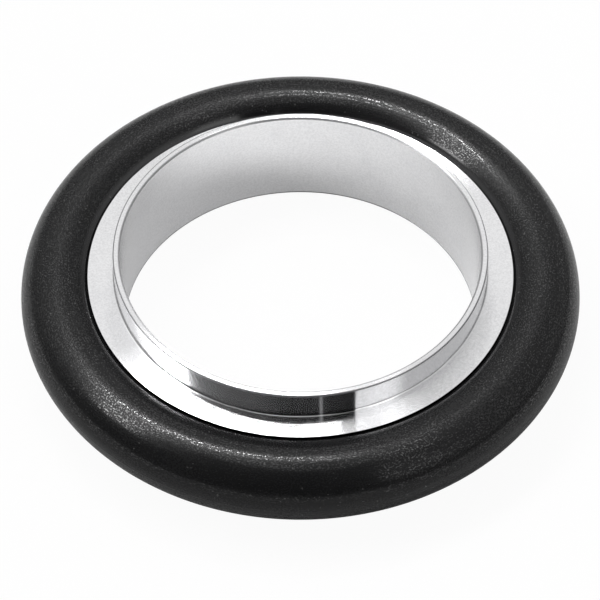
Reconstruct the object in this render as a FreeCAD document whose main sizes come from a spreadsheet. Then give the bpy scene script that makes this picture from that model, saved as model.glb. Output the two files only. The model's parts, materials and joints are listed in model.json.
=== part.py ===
import FreeCAD, Part
import os
import Sketcher

# KF25 centering ring, in millimetres: one turned metal ring and one moulded O-ring.
# +Z is the ring's axis, and the origin is the ring's centre, on its mid-plane.
# Both ends are alike, and the part stands on the end of its lower lip.

SIZES = {
    # The turned ring
    "bore_dia": 25.0,        # the clear passage
    "lip_wall": 0.5,         # the two lips that enter the flanges' recesses
    "lip_height": 2.05,      # from the web's face to the lip's end
    "web_thickness": 3.9,    # the stop that the two flange faces close on
    "web_reach": 1.85,       # from the lip's outside to the web's rim
    "groove_ease": 1.07,     # how much larger the rim groove's radius is than the cord's
    "bore_chamfer": 0.12,
    # The O-ring
    "cord_dia": 5.33,
    "cord_squeeze": 0.06,    # how far the stretched cord is flattened where it sits
}

# Sizes that follow from the driving ones, each an expression on the sheet's cells.
BORE_RADIUS = "(Sizes.bore_dia / 2)"
LIP_RADIUS = f"({BORE_RADIUS} + Sizes.lip_wall)"
WEB_RADIUS = f"({LIP_RADIUS} + Sizes.web_reach)"
WEB_HALF = "(Sizes.web_thickness / 2)"
HALF_HEIGHT = f"({WEB_HALF} + Sizes.lip_height)"
CORD_RADIUS = "(Sizes.cord_dia / 2)"
GROOVE_RADIUS = f"({CORD_RADIUS} + Sizes.groove_ease)"
GROOVE_CENTRE = f"({WEB_RADIUS} + sqrt({GROOVE_RADIUS} ^ 2 - {WEB_HALF} ^ 2))"
SEAT_RADIUS = f"({GROOVE_CENTRE} - {GROOVE_RADIUS})"
CORD_CENTRE = f"({SEAT_RADIUS} + {CORD_RADIUS} - Sizes.cord_squeeze)"

START, END, CENTRE = range(1, 4)     # a line's or an arc's own points, as sketches number them
ORIGIN = (-1, START)                 # a sketch's horizontal axis starts at its origin
H_AXIS = ORIGIN[0]


def make_sheet(doc):
    """The driving sizes, one cell with an alias for each."""
    sheet = doc.addObject("Spreadsheet::Sheet", "Sizes")
    for row, (name, size) in enumerate(SIZES.items(), start=1):
        sheet.set(f"A{row}", name)
        sheet.set(f"B{row}", str(size))
        sheet.setAlias(f"B{row}", name)
    doc.recompute()


def section_sketch(body, name):
    """An empty sketch on the body's own XZ plane: its x is the radius, its y the height."""
    plane = next(feature for feature in body.Origin.OriginFeatures if feature.Role == "XZ_Plane")
    sketch = body.newObject("Sketcher::SketchObject", name)
    sketch.AttachmentSupport = [(plane, "")]
    sketch.MapMode = "FlatFace"
    return sketch


def measure(item, *expressions):
    """The numbers that expressions on the sheet come to."""
    return [item.evalExpression(expression) for expression in expressions]


def point(x, y):
    return FreeCAD.Vector(x, y, 0)


def fix(sketch, kind, *place):
    """A constraint without a size."""
    sketch.addConstraint(Sketcher.Constraint(kind, *place))


def drive(sketch, name, kind, place, expression):
    """A named dimension, which an expression on the sheet drives."""
    number, = measure(sketch, expression)
    index = sketch.addConstraint(Sketcher.Constraint(kind, *place, number))
    sketch.renameConstraint(index, name)
    sketch.setExpression(f"Constraints.{name}", expression)


def turn(body, sketch, name):
    """Turns a section all the way round the ring's axis."""
    feature = body.newObject("PartDesign::Revolution", name)
    feature.Profile = sketch
    feature.ReferenceAxis = (sketch, ["V_Axis"])
    feature.Angle = 360
    body.Document.recompute()
    return feature


def ring_section(body):
    """The turned ring: a thin sleeve with a web round its middle, hollowed at the rim."""
    sketch = section_sketch(body, "RingSection")
    bore, lip, web, half_web, half_height, seat = measure(
        sketch, BORE_RADIUS, LIP_RADIUS, WEB_RADIUS, WEB_HALF, HALF_HEIGHT, SEAT_RADIUS)
    corners = [
        point(bore, -half_height), point(lip, -half_height), point(lip, -half_web),
        point(web, -half_web), point(web, half_web), point(lip, half_web),
        point(lip, half_height), point(bore, half_height),
    ]
    lower_end, lower_lip, lower_face, rim, upper_face, upper_lip, upper_end, wall = range(8)
    for number, corner in enumerate(corners):
        following = corners[(number + 1) % len(corners)]
        if number == rim:
            sketch.addGeometry(Part.Arc(corner, point(seat, 0), following))
        else:
            sketch.addGeometry(Part.LineSegment(corner, following))

    # An arc is stored anticlockwise, so the rim's starts at the top.
    for number in (upper_face, upper_lip, upper_end, wall, lower_end, lower_lip):
        fix(sketch, "Coincident", number, END, (number + 1) % len(corners), START)
    fix(sketch, "Coincident", lower_face, END, rim, END)
    fix(sketch, "Coincident", rim, START, upper_face, START)
    for flat in (lower_end, lower_face, upper_face, upper_end):
        fix(sketch, "Horizontal", flat)
    for upright in (lower_lip, upper_lip):
        fix(sketch, "Vertical", upright)
    fix(sketch, "Vertical", lower_lip, START, upper_lip, END)
    fix(sketch, "Symmetric", wall, START, wall, END, H_AXIS)
    fix(sketch, "Vertical", rim, START, rim, END)
    fix(sketch, "PointOnObject", rim, CENTRE, H_AXIS)

    drive(sketch, "BoreRadius", "DistanceX", (*ORIGIN, wall, START), BORE_RADIUS)
    drive(sketch, "LipRadius", "DistanceX", (*ORIGIN, lower_lip, START), LIP_RADIUS)
    drive(sketch, "WebRadius", "DistanceX", (*ORIGIN, rim, START), WEB_RADIUS)
    drive(sketch, "WebHalf", "DistanceY", (*ORIGIN, rim, START), WEB_HALF)
    drive(sketch, "HalfHeight", "DistanceY", (*ORIGIN, wall, START), HALF_HEIGHT)
    drive(sketch, "GrooveRadius", "Radius", (rim,), GROOVE_RADIUS)
    return sketch


def bore_edges(feature):
    """The names of the two round edges where the bore meets the lips' ends."""
    radius, height = measure(feature, BORE_RADIUS, HALF_HEIGHT)
    names = []
    for number, edge in enumerate(feature.Shape.Edges, start=1):
        if not isinstance(edge.Curve, Part.Circle):
            continue
        corner = FreeCAD.Vector(edge.Curve.Radius, 0, abs(edge.Curve.Center.z))
        if corner.isEqual(FreeCAD.Vector(radius, 0, height), Part.Precision.confusion()):
            names.append(f"Edge{number}")
    if len(names) != 2:
        raise RuntimeError(f"{len(names)} edges where the bore's two were looked for")
    return names


def make_centering_ring(doc):
    """The metal ring, turned in one piece, with both ends of its bore chamfered."""
    body = doc.addObject("PartDesign::Body", "centering_ring")
    turned = turn(body, ring_section(body), "Turned")
    chamfers = body.newObject("PartDesign::Chamfer", "BoreChamfers")
    chamfers.Base = (turned, bore_edges(turned))
    chamfers.setExpression("Size", "Sizes.bore_chamfer")
    return body


def cord_section(body):
    """The cord: round where it is free, and pressed to the groove's own arc where it sits."""
    sketch = section_sketch(body, "CordSection")
    cord_centre, cord_radius, seat_centre, seat_arc = measure(
        sketch, CORD_CENTRE, CORD_RADIUS, GROOVE_CENTRE, GROOVE_RADIUS)
    # The two arcs' common ends lie where their circles cross.
    apart = seat_centre - cord_centre
    end_x = (cord_centre + seat_centre) / 2 - (seat_arc ** 2 - cord_radius ** 2) / (2 * apart)
    end_y = (cord_radius ** 2 - (end_x - cord_centre) ** 2) ** 0.5
    lower, upper = point(end_x, -end_y), point(end_x, end_y)
    free = sketch.addGeometry(Part.Arc(lower, point(cord_centre + cord_radius, 0), upper))
    seat = sketch.addGeometry(Part.Arc(upper, point(seat_centre - seat_arc, 0), lower))

    fix(sketch, "Coincident", free, END, seat, START)
    fix(sketch, "Coincident", seat, END, free, START)
    for arc in (free, seat):
        fix(sketch, "PointOnObject", arc, CENTRE, H_AXIS)
    drive(sketch, "CordCentre", "DistanceX", (*ORIGIN, free, CENTRE), CORD_CENTRE)
    drive(sketch, "CordRadius", "Radius", (free,), CORD_RADIUS)
    drive(sketch, "SeatCentre", "DistanceX", (*ORIGIN, seat, CENTRE), GROOVE_CENTRE)
    drive(sketch, "SeatRadius", "Radius", (seat,), GROOVE_RADIUS)
    return sketch


def make_o_ring(doc):
    """The moulded ring of round cord, seated in the web's rim."""
    body = doc.addObject("PartDesign::Body", "o_ring")
    turn(body, cord_section(body), "Moulded")
    return body


def check(doc, bodies):
    """Stops if anything in the document failed, or a sub-part isn't one sound solid."""
    for item in doc.Objects:
        if "Invalid" in item.State or "Error" in item.State:
            raise RuntimeError(f"{item.Label}: {item.State}")
    for body in bodies:
        if body.Shape.isNull() or not body.Shape.isValid() or len(body.Shape.Solids) != 1:
            raise RuntimeError(f"{body.Label}: not one valid solid")


def write_parts(bodies):
    """Writes each sub-part to a STEP file named after it."""
    os.makedirs("parts", exist_ok=True)
    for body in bodies:
        body.Shape.exportStep(f"parts/{body.Label}.step")
        print(f"{body.Label}: {body.Shape.Volume:.2f} cubic mm")


def main():
    doc = FreeCAD.newDocument("CenteringRing")
    make_sheet(doc)
    bodies = [make_centering_ring(doc), make_o_ring(doc)]
    doc.recompute()
    check(doc, bodies)
    write_parts(bodies)


main()
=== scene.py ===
import json
import math

import bmesh
import bpy
from mathutils import Matrix, Vector


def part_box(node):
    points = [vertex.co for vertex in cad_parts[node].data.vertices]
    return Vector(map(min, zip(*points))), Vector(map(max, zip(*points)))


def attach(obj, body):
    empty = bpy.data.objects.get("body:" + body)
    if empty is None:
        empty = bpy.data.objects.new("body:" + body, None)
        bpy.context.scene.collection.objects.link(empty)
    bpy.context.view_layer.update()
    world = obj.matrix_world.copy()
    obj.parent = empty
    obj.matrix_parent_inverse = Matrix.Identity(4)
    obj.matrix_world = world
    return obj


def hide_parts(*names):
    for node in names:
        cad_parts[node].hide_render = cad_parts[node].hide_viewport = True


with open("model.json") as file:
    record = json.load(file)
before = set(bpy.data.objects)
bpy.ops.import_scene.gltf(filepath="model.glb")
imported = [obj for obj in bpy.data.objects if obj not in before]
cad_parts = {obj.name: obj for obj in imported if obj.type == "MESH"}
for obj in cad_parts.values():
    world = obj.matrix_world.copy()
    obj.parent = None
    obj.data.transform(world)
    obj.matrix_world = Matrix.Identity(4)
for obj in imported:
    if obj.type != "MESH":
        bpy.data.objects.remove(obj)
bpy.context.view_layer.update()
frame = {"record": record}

mm = 0.001     # every length in the dictionaries below is in millimetres


# One output of a node. Arithmetic on it adds Math nodes, so a mask reads as a formula.
class Strand:
    def __init__(self, bench, socket):
        self.bench, self.socket = bench, socket

    def __add__(self, other):
        return self.bench.maths("ADD", self, other)

    def __radd__(self, other):
        return self.bench.maths("ADD", other, self)

    def __sub__(self, other):
        return self.bench.maths("SUBTRACT", self, other)

    def __rsub__(self, other):
        return self.bench.maths("SUBTRACT", other, self)

    def __mul__(self, other):
        return self.bench.maths("MULTIPLY", self, other)

    def __rmul__(self, other):
        return self.bench.maths("MULTIPLY", other, self)

    def __truediv__(self, other):
        return self.bench.maths("DIVIDE", self, other)

    def __rtruediv__(self, other):
        return self.bench.maths("DIVIDE", other, self)

    def __pow__(self, other):
        return self.bench.maths("POWER", self, other)


# A node tree, in which add() is the one way to make a node.
class Bench:
    def __init__(self, tree):
        self.tree = tree

    def add(self, kind, settings=None, sockets=None, out=0):
        made = self.tree.nodes.new(kind)
        for name, value in (settings or {}).items():
            setattr(made, name, value)
        for name, value in (sockets or {}).items():
            if isinstance(value, Strand):
                self.tree.links.new(value.socket, made.inputs[name])
            else:
                made.inputs[name].default_value = value
        return Strand(self, made.outputs[out]) if made.outputs else made

    def maths(self, operation, *values):
        return self.add("ShaderNodeMath", {"operation": operation}, dict(enumerate(values)))

    def vectorMaths(self, operation, *values):
        return self.add("ShaderNodeVectorMath", {"operation": operation},
                        dict(enumerate(values)))

    def smooth(self, value, low, high):
        # 0 below low, 1 above high, and soft between them; swapped limits give the mirror image
        return self.add("ShaderNodeMapRange", {"interpolation_type": "SMOOTHSTEP"},
                        {"Value": value, "From Min": low, "From Max": high})

    def parts(self, vector):
        split = self.add("ShaderNodeSeparateXYZ", None, {0: vector}).socket.node
        return [Strand(self, socket) for socket in split.outputs]

    def vector(self, x, y, z):
        return self.add("ShaderNodeCombineXYZ", None, {0: x, 1: y, 2: z})

    def noise(self, vector, scale, detail, roughness, out=0):
        return self.add("ShaderNodeTexNoise", {"noise_dimensions": "3D"}, {
            "Vector": vector, "Scale": scale, "Detail": detail, "Roughness": roughness}, out)

    def blend(self, factor, first, second):
        return self.add("ShaderNodeMix", {"data_type": "RGBA"},
                        {"Factor": factor, "A": first, "B": second}, out="Result")


def newMaterial(name):
    material = bpy.data.materials.new(name)
    material.use_nodes = True
    material.node_tree.nodes.clear()
    return material, Bench(material.node_tree)


def finishSurface(bench, shader):
    bench.add("ShaderNodeOutputMaterial", None, {"Surface": shader})


# A place on a ring: its three coordinates and its distance from the axis, in millimetres.
def roundTheAxis(bench):
    here = bench.add("ShaderNodeTexCoord", out="Object")
    x, y, z = (part * (1 / mm) for part in bench.parts(here))
    return x, y, z, (x * x + y * y) ** 0.5


# The surface's own normal, leaned by two small slopes: across the turning and along it.
def leanNormal(bench, x, y, radius, across, along):
    normal = bench.add("ShaderNodeNewGeometry", out="Normal")
    forward = bench.add("ShaderNodeVectorTransform", {
        "vector_type": "VECTOR", "convert_from": "OBJECT", "convert_to": "WORLD"},
        {"Vector": bench.vector(0 - y / radius, x / radius, 0.0)})
    sideways = bench.vectorMaths("CROSS_PRODUCT", forward, normal)
    for way, slope in ((sideways, across), (forward, along)):
        push = bench.vector(slope, slope, slope)
        normal = bench.vectorMaths("MULTIPLY_ADD", way, push, normal)
    return bench.vectorMaths("NORMALIZE", normal)


mergeDistance = 0.0001     # points nearer to each other than this become one


# Turns a geometry tree into a plain mesh object, with its inputs set by identifier first.
def applyTree(tree, name, startMesh, settings):
    rough = bpy.data.objects.new(name + "Rough", startMesh)
    bpy.context.scene.collection.objects.link(rough)
    modifier = rough.modifiers.new("shape", "NODES")
    modifier.node_group = tree
    for item in tree.interface.items_tree:
        if item.item_type == "SOCKET" and item.in_out == "INPUT" and item.name in settings:
            modifier[item.identifier] = settings[item.name]
    bpy.context.view_layer.update()
    graph = bpy.context.evaluated_depsgraph_get()
    mesh = bpy.data.meshes.new_from_object(rough.evaluated_get(graph))
    rough.modifiers.clear()
    bpy.data.objects.remove(rough)
    tidy = bmesh.new()
    tidy.from_mesh(mesh)
    bmesh.ops.remove_doubles(tidy, verts=tidy.verts, dist=mergeDistance * mm)
    bmesh.ops.recalc_face_normals(tidy, faces=tidy.faces)
    tidy.to_mesh(mesh)
    tidy.free()
    mesh.name = name
    piece = bpy.data.objects.new(name, mesh)
    bpy.context.scene.collection.objects.link(piece)
    return piece


# A geometry tree with named inputs, its bench, and the strands that leave the inputs.
def newTree(name, inputs):
    tree = bpy.data.node_groups.new(name, "GeometryNodeTree")
    for label, kind in inputs.items():
        tree.interface.new_socket(label, in_out="INPUT", socket_type="NodeSocket" + kind)
    tree.interface.new_socket("Geometry", in_out="OUTPUT", socket_type="NodeSocketGeometry")
    bench = Bench(tree)
    given = bench.add("NodeGroupInput").socket.node.outputs
    return tree, bench, {socket.name: Strand(bench, socket) for socket in given if socket.name}


# What every tree here ends in: smooth shading, real geometry and its material.
def endTree(bench, shape, material):
    shape = bench.add("GeometryNodeSetShadeSmooth", None, {"Geometry": shape})
    shape = bench.add("GeometryNodeRealizeInstances", None, {"Geometry": shape})
    shape = bench.add("GeometryNodeSetMaterial", None, {
        "Geometry": shape, "Material": material})
    bench.add("NodeGroupOutput", None, {"Geometry": shape})


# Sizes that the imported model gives
mounts = {mount["name"]: mount["dims"] for mount in frame["record"]["mounts"]}
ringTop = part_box("centering_ring")[1] / mm
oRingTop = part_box("o_ring")[1] / mm
boreRadius = mounts["through_bore"]["r_mm"]
lipRadius = mounts["upper_spigot"]["r_mm"]
webRadius = ringTop.x
halfHeight = ringTop.z
webHalf = halfHeight - mounts["upper_spigot"]["length_mm"]
cordRadius = oRingTop.z
cordCentre = oRingTop.x - cordRadius
print(f"frame loaded: bore {boreRadius:.2f}, lip {lipRadius:.2f}, web {webRadius:.2f} mm")


camera = {
    "lens": 184.04,
    "sensor": 36,
    "place": (-0.031, -139.80, 163.78),
    "aim": (-0.031, -1.209, 0.0),
    "sees": (5, 50000),     # nearest and farthest
}


def makeCamera():
    data = bpy.data.cameras.new("studioCamera")
    data.lens = camera["lens"]
    data.sensor_width = camera["sensor"]
    data.clip_start, data.clip_end = (distance * mm for distance in camera["sees"])
    item = bpy.data.objects.new("studioCamera", data)
    bpy.context.scene.collection.objects.link(item)
    place, aim = Vector(camera["place"]) * mm, Vector(camera["aim"]) * mm
    item.location = place
    item.rotation_euler = (aim - place).to_track_quat("-Z", "Y").to_euler()
    bpy.context.scene.camera = item
    print("camera placed")


makeCamera()


turnedMetal = {
    "colour": (0.86, 0.86, 0.87, 1),
    "stain": (0.80, 0.80, 0.815, 1),      # broad, faint patches from handling
    "stainShares": (0.6, 0.4),            # how far they follow the patches, and the scratches
    "stainLimits": (0.45, 0.75),
    "grain": 0.25,                        # how dark the fine grain is
    "grainFloor": 0.3,
    "roughness": 0.09,
    "roughnessSpread": 0.03,
    "speckSpread": 0.02,                  # the same, from the finest specks
    "anisotropy": 1.0,                    # the gloss is drawn out across the tool marks
    "anisotropyTurn": 0.25,
    "feed": 34.0,                         # tool marks to the millimetre
    "feedWander": 6,                      # how many marks their spacing wanders by
    "faceSlope": 0.19,                    # steepness of their flanks on the flat faces
    "wallSlope": 0.05,                    # and in the bore and on the lips
    "faceLimits": (0.6, 0.95),            # how far up a normal points, from wall to face
    "scratchSlope": 0.03,
    "waveSlope": 0.006,
    "waveHeight": 0.3,                    # how far the waves follow the height
    # how often each of these repeats along the turning and across it, to the millimetre
    "scratchStretch": (0.25, 26.0),
    "wanderStretch": (0.1, 3.0),
    # scale, detail and roughness of each noise
    "scratchNoise": (1.0, 4.0, 0.6),
    "wanderNoise": (1.0, 2.0, 0.5),
    "waveNoise": (0.5, 2.0, 0.5),
    "patchNoise": (0.35, 3.0, 0.6),
    "speckNoise": (9.0, 2.0, 0.5),
    "grainNoise": (7.0, 1.0, 0.5),
    # the lips' broken edges, cut less finely and painted dark, a painted shade for the dark
    # line
    # that their bevels reflect: where each begins and where it is full, measured from its own
    # corner or from the bore's wall
    "edge": (0.34, 0.34, 0.35, 1),
    "edgeRoughness": 0.50,
    "boreEdge": (0.17, 0.10),
    "boreWall": (0.002, 0.02),
    "lowerEdge": (0.23, 0.19),
    "lowerWall": (0.16, 0.12),
    "lowerSide": (0, -1),
    "lipEdge": (-0.11, -0.05),
}


def makeTurnedMetal():
    material, bench = newMaterial("turnedMetal")
    x, y, z, radius = roundTheAxis(bench)
    across = radius + z     # one face at a time, this runs straight across the tool marks

    def evenNoise(kind):
        return bench.noise(bench.vector(x, y, z), *turnedMetal[kind + "Noise"])

    def drawnNoise(kind):
        alongScale, acrossScale = turnedMetal[kind + "Stretch"]
        place = bench.vector(x * alongScale, y * alongScale, across * acrossScale)
        return bench.noise(place, *turnedMetal[kind + "Noise"])

    def fromCorner(value, corner, kind):
        return bench.smooth(value, *(corner + limit for limit in turnedMetal[kind]))

    scratch, patch = drawnNoise("scratch"), evenNoise("patch")
    speck, grain = evenNoise("speck"), evenNoise("grain")
    # the flanks of the tool marks, their spacing a little uneven
    marks = across * turnedMetal["feed"] + drawnNoise("wander") * turnedMetal["feedWander"]
    flank = bench.maths("SINE", marks * (2 * math.pi))
    ownNormal = bench.add("ShaderNodeTexCoord", out="Normal")
    lying = bench.maths("ABSOLUTE", bench.parts(ownNormal)[2])
    steepness = turnedMetal["wallSlope"] + (
        bench.smooth(lying, *turnedMetal["faceLimits"])
        * (turnedMetal["faceSlope"] - turnedMetal["wallSlope"]))
    # slow waves along the turning
    wave = bench.noise(bench.vector(x, y, z * turnedMetal["waveHeight"]),
                       *turnedMetal["waveNoise"])
    patchShare, scratchShare = turnedMetal["stainShares"]
    stained = bench.smooth(patch * patchShare + scratch * scratchShare,
                           *turnedMetal["stainLimits"])
    colour = bench.blend(stained, turnedMetal["colour"], turnedMetal["stain"])
    colour = bench.blend((grain - turnedMetal["grainFloor"]) * turnedMetal["grain"],
                         colour, (0.0, 0.0, 0.0, 1))
    roughness = (turnedMetal["roughness"] + (scratch - 0.5) * turnedMetal["roughnessSpread"]
                 + (patch - 0.5) * turnedMetal["roughnessSpread"]
                 + (speck - 0.5) * turnedMetal["speckSpread"])
    # the broken edges, with painted shade: the bore's two, its lower one again, which is
    # rounder, and the lips'
    height = bench.maths("ABSOLUTE", z)
    boreCorner = boreRadius - halfHeight
    boreEdge = (fromCorner(radius - height, boreCorner, "boreEdge")
                * fromCorner(radius, boreRadius, "boreWall"))
    lowerEdge = (fromCorner(radius - height, boreCorner, "lowerEdge")
                 * fromCorner(radius, boreRadius, "lowerWall")
                 * bench.smooth(z, *turnedMetal["lowerSide"]))
    lipEdge = fromCorner(radius + height, lipRadius + halfHeight, "lipEdge")
    edge = bench.maths("MAXIMUM", bench.maths("MAXIMUM", boreEdge, lowerEdge), lipEdge)
    # painted shade: a dark colour on the broken edges stands in for the dark line their bevels
    # reflect
    colour = bench.blend(edge, colour, turnedMetal["edge"])
    roughness = roughness + edge * turnedMetal["edgeRoughness"]
    normal = leanNormal(bench, x, y, radius,
                        flank * steepness + (scratch - 0.5) * turnedMetal["scratchSlope"],
                        (wave - 0.5) * turnedMetal["waveSlope"])
    shader = bench.add("ShaderNodeBsdfPrincipled", None, {
        "Base Color": colour, "Metallic": 1.0, "Roughness": roughness, "Normal": normal,
        "Anisotropic": turnedMetal["anisotropy"],
        "Anisotropic Rotation": turnedMetal["anisotropyTurn"]})
    finishSurface(bench, shader)
    return material


blackRubber = {
    "colour": (0.0088, 0.0088, 0.0092, 1),
    "bloom": (0.011, 0.011, 0.0115, 1),
    "bloomLimits": (0.45, 0.8),
    "dust": (0.06, 0.06, 0.06, 1),
    "dustLimits": (0.81, 0.84),
    "roughness": 0.27,
    "roughnessSpread": 0.08,
    "gloss": 0.15,
    "polish": 1.0,                        # glints between the fine pits
    "polishIor": 1.6,
    "polishRoughness": 0.10,
    "glintLimits": (0.53, 0.66),
    "glintHeights": (0.6, 1.4),           # glints are on the upper side alone
    "speckSlope": 0.17,                   # fine pitting
    "ridgeSlope": 0.14,                   # flow lines along the cord
    # the smoother band that turns down towards the metal, and the angles round the cord, in
    # radians, between which it gives way to the rest
    "innerPolish": 1.0,
    "innerRoughness": 0.08,
    "exposedLimits": (2.32, 2.15),
    # how often each of these repeats along the cord and round it, to the millimetre, and where
    # in the noise it is cut
    "speckStretch": (7.5, 10.5, 0.0),
    "ridgeStretch": (0.3, 7.0, 3.0),
    # scale, detail and roughness of each noise
    "speckNoise": (1.0, 2.0, 0.6),
    "ridgeNoise": (1.0, 2.0, 0.5),
    "broadNoise": (0.25, 3.0, 0.55),
    "dustNoise": (5.0, 0.0, 0.5),
    # the faint flash line that the mould leaves round the outside
    "flashWidth": (0.09, 0.03),
    "flashOutward": (0.0, 0.5),
    "flashHeight": 0.01,
    "flashStrength": 0.5,
}


def makeBlackRubber():
    material, bench = newMaterial("blackRubber")
    x, y, z, radius = roundTheAxis(bench)
    outward = radius - cordCentre
    girth = bench.maths("ARCTAN2", z, outward)      # 0 at the cord's outside, pi/2 on its top
    along = bench.maths("ARCTAN2", y, x) * cordCentre
    around = girth * cordRadius

    def evenNoise(kind):
        return bench.noise(bench.vector(x, y, z), *blackRubber[kind + "Noise"])

    def drawnNoise(kind, out=0):
        alongScale, aroundScale, cut = blackRubber[kind + "Stretch"]
        place = bench.vector(along * alongScale, around * aroundScale, cut)
        return bench.noise(place, *blackRubber[kind + "Noise"], out=out)

    lean, swing, depth = bench.parts(drawnNoise("speck", out="Color"))
    ridge, broad = drawnNoise("ridge"), evenNoise("broad")
    colour = bench.blend(bench.smooth(depth, *blackRubber["bloomLimits"]),
                         blackRubber["colour"], blackRubber["bloom"])
    colour = bench.blend(bench.smooth(evenNoise("dust"), *blackRubber["dustLimits"]),
                         colour, blackRubber["dust"])
    exposed = bench.smooth(bench.maths("ABSOLUTE", girth), *blackRubber["exposedLimits"])
    roughness = (blackRubber["roughness"] + (depth - 0.5) * blackRubber["roughnessSpread"]
                 + (broad - 0.5) * blackRubber["roughnessSpread"])
    roughness = (blackRubber["innerRoughness"]
                 + exposed * (roughness - blackRubber["innerRoughness"]))
    glint = (bench.smooth(z, *blackRubber["glintHeights"])
             * bench.smooth(depth, *blackRubber["glintLimits"]))
    coat = (exposed * glint * blackRubber["polish"]
            + (1 - exposed) * blackRubber["innerPolish"])
    across = ((lean - 0.5) * blackRubber["speckSlope"]
              + (ridge - 0.5) * blackRubber["ridgeSlope"])
    normal = leanNormal(bench, x, y, radius, exposed * across,
                        exposed * (swing - 0.5) * blackRubber["speckSlope"])
    flash = (bench.smooth(bench.maths("ABSOLUTE", z), *blackRubber["flashWidth"])
             * bench.smooth(outward, *blackRubber["flashOutward"]))
    bump = bench.add("ShaderNodeBump", None, {
        "Strength": blackRubber["flashStrength"], "Distance": mm,
        "Height": flash * blackRubber["flashHeight"], "Normal": normal})
    shader = bench.add("ShaderNodeBsdfPrincipled", None, {
        "Base Color": colour, "Roughness": roughness, "Normal": bump,
        "Specular IOR Level": blackRubber["gloss"], "Coat Weight": coat,
        "Coat IOR": blackRubber["polishIor"],
        "Coat Roughness": blackRubber["polishRoughness"]})
    finishSurface(bench, shader)
    return material


ring = {
    "steps": 512,             # facets round the axis
    "boreChamfer": 0.12,
    "chamferEase": 0.02,
    "lowerEase": 0.165,       # the bore's lower edge is broken rounder
    "lipEase": 0.06,          # broken outer edge of each lip
    "rootRadius": 0.14,       # where a lip meets the web
    "rimEase": 0.02,          # broken edges of the web's rim
    "arcSteps": 6,
    "hold": 0.015,            # narrow strips that keep the flat faces' shading flat
    "grooveEase": 1.07,       # how much larger the rim groove's radius is than the cord's
    "grooveSteps": 28,
    "grooveLead": 3,          # the step that the rim's broken edge leads to
    "grooveGap": 0.02,        # from that edge down to the groove's first point
}
grooveRadius = cordRadius + ring["grooveEase"]
grooveCentre = webRadius + math.sqrt(grooveRadius ** 2 - webHalf ** 2)


# A corner's arc between two straight runs, with a narrow strip held on both sides of it.
def easeCorner(before, corner, after, radius):
    before, corner, after = Vector(before), Vector(corner), Vector(after)
    inward, outward = (before - corner).normalized(), (after - corner).normalized()
    half = inward.angle(outward) / 2
    reach = radius / math.tan(half)
    centre = corner + (inward + outward).normalized() * (radius / math.sin(half))
    start, end = corner + inward * reach, corner + outward * reach
    points = [start + inward * ring["hold"], start]
    steps = ring["arcSteps"]
    first, last = start - centre, end - centre
    turn = first.angle(last)
    for step in range(1, steps):
        share = step / steps
        points.append(centre + (first * math.sin((1 - share) * turn)
                                + last * math.sin(share * turn)) / math.sin(turn))
    return points + [end, end + outward * ring["hold"]]


# Half of the ring's section, from the middle of the bore up and round to the groove's middle.
def halfSection(chamferEase):
    chamfer = ring["boreChamfer"]
    groove = []
    for step in range(ring["grooveSteps"] + 1):
        height = webHalf * (1 - step / ring["grooveSteps"])
        inward = math.sqrt(grooveRadius ** 2 - height ** 2)
        groove.append(Vector((grooveCentre - inward, height)))
    corners = [
        ((boreRadius, 0), (boreRadius, halfHeight - chamfer), chamferEase),
        (None, (boreRadius + chamfer, halfHeight), chamferEase),
        (None, (lipRadius, halfHeight), ring["lipEase"]),
        (None, (lipRadius, webHalf), ring["rootRadius"]),
        (None, (webRadius, webHalf), ring["rimEase"]),
    ]
    places = [corner[1] for corner in corners]
    points = [Vector((boreRadius, 0))]
    for index, (_, place, ease) in enumerate(corners):
        before = places[index - 1] if index else (boreRadius, 0)
        after = (places + [tuple(groove[ring["grooveLead"]])])[index + 1]
        points += easeCorner(before, place, after, ease)
    highest = points[-1].y - ring["grooveGap"]
    return points + [point for point in groove if point.y < highest]


def ringTree():
    tree, bench, given = newTree("turnedRing", {
        "Section": "Geometry", "Path Radius": "Float", "Steps": "Int", "Metal": "Material"})
    path = bench.add("GeometryNodeCurvePrimitiveCircle", {"mode": "RADIUS"},
                     {"Resolution": given["Steps"], "Radius": given["Path Radius"]})
    section = bench.add("GeometryNodeMeshToCurve", None, {"Mesh": given["Section"]})
    shape = bench.add("GeometryNodeCurveToMesh", None, {
        "Curve": path, "Profile Curve": section})
    endTree(bench, shape, given["Metal"])
    return tree


def makeRing(metal):
    upper, lower = halfSection(ring["chamferEase"]), halfSection(ring["lowerEase"])
    loop = upper + [Vector((point.x, -point.y)) for point in reversed(lower[1:-1])]
    pathRadius = (boreRadius + webRadius) / 2
    section = bpy.data.meshes.new("ringSection")
    section.from_pydata([((point.x - pathRadius) * mm, point.y * mm, 0) for point in loop],
                        [(index, (index + 1) % len(loop)) for index in range(len(loop))], [])
    piece = applyTree(ringTree(), "centeringRing", section, {
        "Path Radius": pathRadius * mm, "Steps": ring["steps"], "Metal": metal})
    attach(piece, "root")
    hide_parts("centering_ring")
    print(f"ring turned: {len(loop)} points in its section, {len(piece.data.polygons)} faces")


oRing = {
    "steps": 400,
    "cordSteps": 96,
}


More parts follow.
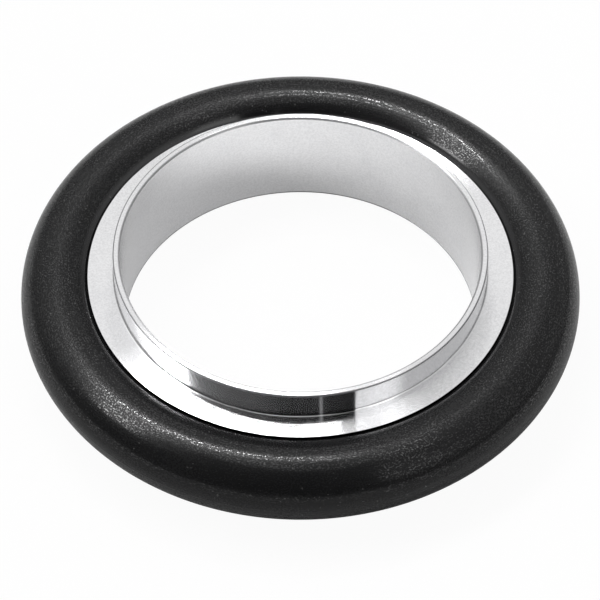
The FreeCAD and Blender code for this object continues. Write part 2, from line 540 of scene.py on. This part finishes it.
def oRingTree():
    tree, bench, given = newTree("mouldedORing", {
        "Geometry": "Geometry", "Ring Radius": "Float", "Cord Radius": "Float",
        "Groove Centre": "Float", "Groove Radius": "Float", "Steps": "Int",
        "Cord Steps": "Int", "Rubber": "Material"})
    path = bench.add("GeometryNodeCurvePrimitiveCircle", {"mode": "RADIUS"},
                     {"Resolution": given["Steps"], "Radius": given["Ring Radius"]})
    cord = bench.add("GeometryNodeCurvePrimitiveCircle", {"mode": "RADIUS"},
                     {"Resolution": given["Cord Steps"], "Radius": given["Cord Radius"]})
    shape = bench.add("GeometryNodeCurveToMesh", None, {"Curve": path, "Profile Curve": cord})
    # the stretched cord is flattened where the rim groove holds it
    x, y, z = bench.parts(bench.add("GeometryNodeInputPosition"))
    radius = (x * x + y * y) ** 0.5
    seat = given["Groove Centre"] - (given["Groove Radius"] ** 2 - z * z) ** 0.5
    spread = bench.maths("MAXIMUM", radius, seat) / radius
    shape = bench.add("GeometryNodeSetPosition", None, {
        "Geometry": shape, "Position": bench.vector(x * spread, y * spread, z)})
    endTree(bench, shape, given["Rubber"])
    return tree


def makeORing(rubber):
    piece = applyTree(oRingTree(), "oRing", bpy.data.meshes.new("cordStart"), {
        "Ring Radius": cordCentre * mm, "Cord Radius": cordRadius * mm,
        "Groove Centre": grooveCentre * mm, "Groove Radius": grooveRadius * mm,
        "Steps": oRing["steps"], "Cord Steps": oRing["cordSteps"], "Rubber": rubber})
    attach(piece, "root")
    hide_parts("o_ring")
    print(f"o-ring moulded: {len(piece.data.polygons)} faces")


makeRing(makeTurnedMetal())
makeORing(makeBlackRubber())


studio = {
    "front": 0.10,                  # light from the camera's side, where dark screens stand
    "rear": 0.95,                   # light from behind the ring
    "rearFrom": (-0.5, 0.6),        # where it takes over, from -1 in front to 1 behind
    "low": 0.25,                    # share of both that is left at the horizon
    "lowUpTo": (0, 45),             # degrees over which the rest is reached
    # panels and screens, each laid over those before it:
    # azimuth from the camera's side, plus to the right, elevation, softness, level
    "panels": {
        "ceiling": ((-200, 200), (78, 100), 3, 0.9),
        "leftCeiling": ((-175, -50), (79, 88), 2, 1.7),
        "rearGap": ((165, 178), (60, 78), 3, 1.8),
        "leftCloth": ((-142, -60), (46, 78), 4, 1.4),
        "rightCloth": ((30, 150), (10, 78), 4, 0.62),
        "rightEdge": ((25, 58), (20, 64), 4, 1.2),
    },
    # soft bands of light: direction of one end, direction of the other, half width, softness
    # (degrees) and brightness
    "bands": {
        "leftBand": ((-150, 62), (-110, 61), 5.0, 3.5, 10.0),
        "lowLeftBand": ((-110, 62), (-82, 43), 6, 3.5, 10.0),
        "rearBand": ((178, 58), (-150, 63), 4, 2.5, 3.5),
        "crestBand": ((179, 62.5), (-148, 59.5), 0.9, 0.4, 62.0),
        "rightBand": ((75, 68), (105, 73), 3.5, 2.5, 2.4),
        "rearRightBand": ((105, 74), (152, 71), 3.5, 2.5, 2.2),
        "rearRightEnd": ((132, 74.5), (154, 65.5), 2.0, 1.5, 3.0),
    },
    # The dark screen, with a slit. Its ends follow the cone that turned metal draws a gloss
    # out to, so they stay sharp in it: left, right and slit are angles round the ring at which
    # each is seen, plus to the right.
    "screen": {
        "left": -36.4, "right": 17.0, "slit": 6.3, "slitWidth": 0.9, "sideSoftness": 0.003,
        "back": (0.08, -0.02), "bottom": 5, "top": 77, "softness": 1.5,
        "level": 0.0, "leftLevel": 0.12, "leftFrom": (-2, -64), "slitLevel": 0.3,
    },
    "floorSize": 3000,
    "floorDrop": 0.005,             # below the lower lip, so that the two don't share a plane
    "floorColour": (0.82, 0.82, 0.82, 1),
    "floorPale": (0.86, 0.86, 0.86, 1),
    "floorNoise": (0.6, 2.0, 0.5),
    "floorLimits": (0.2, 0.8),
    "floorShown": 0.95,             # how much of the floor's white doesn't depend on the light
    "floorMirrored": 0.26,          # the same, as the bore mirrors it; only within the ring, a painted pool of light
    "floorMirroredWithin": (15.0, 13.0),
    "floorRoughness": 0.5,
    "lampDistance": 500,
    "lamps": {
        # direction of one end, direction of the other, thickness, brightness
        "tube": ((167, 71.2), (-150, 70.4), 17, 22.0),
        "tubeEnd": ((-150, 70.4), (-142, 66.5), 17, 22.0),
    },
}


# A unit vector from an azimuth and an elevation in degrees
def direction(azimuth, elevation):
    turn, rise = math.radians(azimuth), math.radians(elevation)
    return Vector((math.sin(turn) * math.cos(rise), -math.cos(turn) * math.cos(rise),
                   math.sin(rise)))


def makeWorld():
    world = bpy.data.worlds.new("lightTent")
    bpy.context.scene.world = world
    world.use_nodes = True
    world.node_tree.nodes.clear()
    bench = Bench(world.node_tree)
    x, y, z = bench.parts(bench.add("ShaderNodeTexCoord", out="Generated"))
    azimuth = bench.maths("ARCTAN2", x, 0 - y) * (180 / math.pi)
    elevation = bench.maths("ARCSINE", z) * (180 / math.pi)
    screen = studio["screen"]
    view = Vector(camera["place"]) - Vector(camera["aim"])
    reach = math.cos(view.angle(Vector((0, -1, 0))))

    def towards(way):
        return x * way.x + y * way.y + z * way.z

    # 1 on one side of the cone seen at a place on the ring, and 0 on its other side
    def beside(place, low, high):
        turn = math.radians(place)
        distance = x * math.cos(turn) + y * math.sin(turn) - reach * math.sin(turn)
        soft = screen["sideSoftness"]
        return bench.smooth(distance, low * soft, high * soft)

    rear = bench.smooth(y, *studio["rearFrom"])
    level = studio["front"] + rear * (studio["rear"] - studio["front"])
    raised = bench.smooth(elevation, *studio["lowUpTo"])
    level = level * (studio["low"] + raised * (1 - studio["low"]))
    for (left, right), (low, high), soft, panelLevel in studio["panels"].values():
        panel = (bench.smooth(azimuth, left - soft, left + soft)
                 * bench.smooth(azimuth, right + soft, right - soft)
                 * bench.smooth(elevation, low - soft, low + soft)
                 * bench.smooth(elevation, high + soft, high - soft))
        level = level + panel * (panelLevel - level)
    for first, last, half, soft, bandLevel in studio["bands"].values():
        first, last = direction(*first), direction(*last)
        pole = first.cross(last).normalized()
        blur = math.radians(soft)
        aside = bench.maths("ABSOLUTE", towards(pole))
        band = (bench.smooth(aside, math.radians(half) + blur, math.radians(half) - blur)
                * bench.smooth(towards(pole.cross(first)), -blur, blur)
                * bench.smooth(towards(last.cross(pole)), -blur, blur))
        level = level + band * (bandLevel - level)
    bottom, top, soft = screen["bottom"], screen["top"], screen["softness"]
    shown = (beside(screen["right"], 1, -1) * beside(screen["left"], -1, 1)
             * bench.smooth(y, *screen["back"])
             * bench.smooth(elevation, bottom - soft, bottom + soft)
             * bench.smooth(elevation, top + soft, top - soft))
    half = screen["slitWidth"] / 2
    slit = beside(screen["slit"] - half, -1, 1) * beside(screen["slit"] + half, 1, -1)
    leftward = bench.smooth(azimuth, *screen["leftFrom"])
    dark = (screen["level"] + leftward * (screen["leftLevel"] - screen["level"])
            + slit * (screen["slitLevel"] - screen["level"]))
    level = level + shown * (dark - level)
    ray = bench.add("ShaderNodeLightPath", out="Is Camera Ray")
    seen = level + ray * (1 - level)
    light = bench.add("ShaderNodeBackground", None, {"Color": (1, 1, 1, 1), "Strength": seen})
    bench.add("ShaderNodeOutputWorld", None, {"Surface": light})
    print("light tent hung")


def makeFloor():
    material, bench = newMaterial("paleFloor")
    x, y, z, radius = roundTheAxis(bench)
    speck = bench.noise(bench.vector(x, y, z), *studio["floorNoise"])
    colour = bench.blend(bench.smooth(speck, *studio["floorLimits"]),
                         studio["floorColour"], studio["floorPale"])
    matt = bench.add("ShaderNodeBsdfDiffuse", None, {
        "Color": colour, "Roughness": studio["floorRoughness"]})
    white = bench.add("ShaderNodeEmission", None, {"Color": (1, 1, 1, 1), "Strength": 1.0})
    rays = bench.add("ShaderNodeLightPath").socket.node
    # painted light: for mirror rays the floor glows within the ring, so the bore reflects a
    # floor brighter than the lamps make it
    mirrored = bench.maths("MAXIMUM", Strand(bench, rays.outputs["Is Glossy Ray"]),
                           Strand(bench, rays.outputs["Is Transmission Ray"]))
    mirrored = mirrored * studio["floorMirrored"] * bench.smooth(
        radius, *studio["floorMirroredWithin"])
    shown = Strand(bench, rays.outputs["Is Camera Ray"]) * studio["floorShown"]
    shader = bench.add("ShaderNodeMixShader", None, {
        0: bench.maths("MAXIMUM", shown, mirrored), 1: matt, 2: white})
    finishSurface(bench, shader)
    half = studio["floorSize"] / 2 * mm
    height = -(halfHeight + studio["floorDrop"]) * mm
    mesh = bpy.data.meshes.new("floor")
    mesh.from_pydata([(-half, -half, height), (half, -half, height), (half, half, height),
                      (-half, half, height)], [], [(0, 1, 2, 3)])
    mesh.materials.append(material)
    floor = bpy.data.objects.new("floor", mesh)
    bpy.context.scene.collection.objects.link(floor)
    print("floor laid")


def makeLamps():
    for name, (first, last, thickness, brightness) in studio["lamps"].items():
        start = direction(*first) * studio["lampDistance"] * mm
        end = direction(*last) * studio["lampDistance"] * mm
        centre = (start + end) / 2
        along, back = (end - start).normalized(), centre.normalized()
        data = bpy.data.lights.new(name, "AREA")
        data.shape = "RECTANGLE"
        data.size, data.size_y = (end - start).length, thickness * mm
        data.energy = brightness * math.pi * data.size * data.size_y     # watts
        lamp = bpy.data.objects.new(name, data)
        bpy.context.scene.collection.objects.link(lamp)
        lamp.matrix_world = Matrix.Translation(centre) @ Matrix(
            (along, back.cross(along), back)).transposed().to_4x4()
    print(f"{len(studio['lamps'])} lamps hung")


makeWorld()
makeFloor()
makeLamps()
bpy.context.scene.view_settings.view_transform = "Standard"
